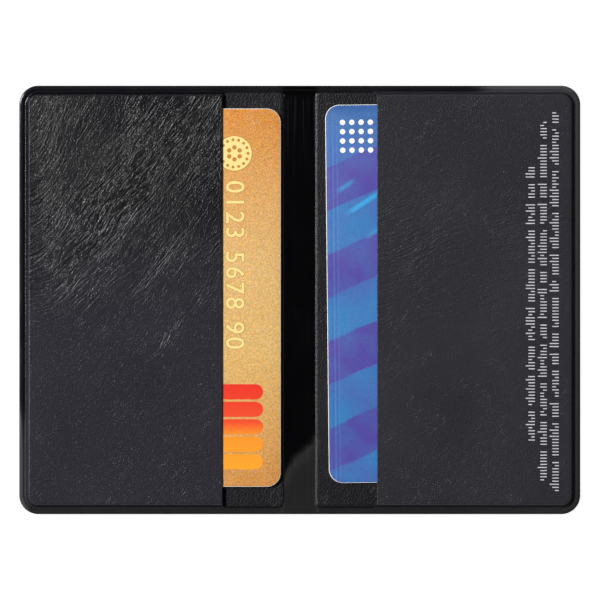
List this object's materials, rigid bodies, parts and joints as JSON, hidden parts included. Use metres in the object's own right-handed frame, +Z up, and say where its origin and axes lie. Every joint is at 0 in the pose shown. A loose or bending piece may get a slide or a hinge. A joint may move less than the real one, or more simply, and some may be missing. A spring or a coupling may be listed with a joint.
{
  "type": "rfid card sleeve",
  "caption": "Folding welded-vinyl sleeve with a radio-shielding film and a slide-in card pocket in each half, lying open with bank-size cards in place.",
  "frame": {"origin": "middle of the open sleeve, on the surface it lies on", "axes": "+X across the open sleeve from the left half to the right half, +Y along the spine to the top edge, +Z up out of the pockets' side"},
  "size_m": [0.127, 0.097, 0.0018],
  "materials": {
    "grained_vinyl": "soft black vinyl with a fine leather grain",
    "welded_vinyl": "black vinyl pressed smooth and glossy by the welding tool",
    "shield_foil": "bright metal film",
    "gold_card": "laminated card with a sparkling gold print",
    "blue_card": "laminated card with a blue and violet print",
    "contacts": "gold-plated contacts",
    "magnetic_tape": "satin dark brown tape",
    "signature_panel": "matt white writing strip"
  },
  "bodies": {
    "left_half": {"outer_cover_left": "grained_vinyl", "shield_foil_left": "shield_foil", "liner_left": "grained_vinyl", "pocket_panel_left": "grained_vinyl", "weld_frame_left": "welded_vinyl"},
    "spine": {"spine_strip": "welded_vinyl"},
    "right_half": {"outer_cover_right": "grained_vinyl", "shield_foil_right": "shield_foil", "liner_right": "grained_vinyl", "pocket_panel_right": "grained_vinyl", "weld_frame_right": "welded_vinyl"},
    "gold_card": {"gold_card_body": "gold_card", "gold_card_chip": "contacts", "gold_card_stripe": "magnetic_tape", "gold_card_signature_panel": "signature_panel"},
    "blue_card": {"blue_card_body": "blue_card", "blue_card_chip": "contacts", "blue_card_stripe": "magnetic_tape", "blue_card_signature_panel": "signature_panel"}
  },
  "joints": [
    {"name": "left_crease", "type": "hinge", "parent": "left_half", "child": "spine", "pos_m": [-0.00142, 0, 0.0005], "axis": [0, -1, 0], "range_deg": [0, 90]},
    {"name": "right_crease", "type": "hinge", "parent": "spine", "child": "right_half", "pos_m": [0.00142, 0, 0.0005], "axis": [0, -1, 0], "range_deg": [0, 90]},
    {"name": "gold_card_slide", "type": "slide", "parent": "left_half", "child": "gold_card", "axis": [1, 0, 0], "range_m": [-0.0025, 0.0027]},
    {"name": "blue_card_slide", "type": "slide", "parent": "right_half", "child": "blue_card", "axis": [-1, 0, 0], "range_m": [-0.00015, 0.0041]}
  ]
}
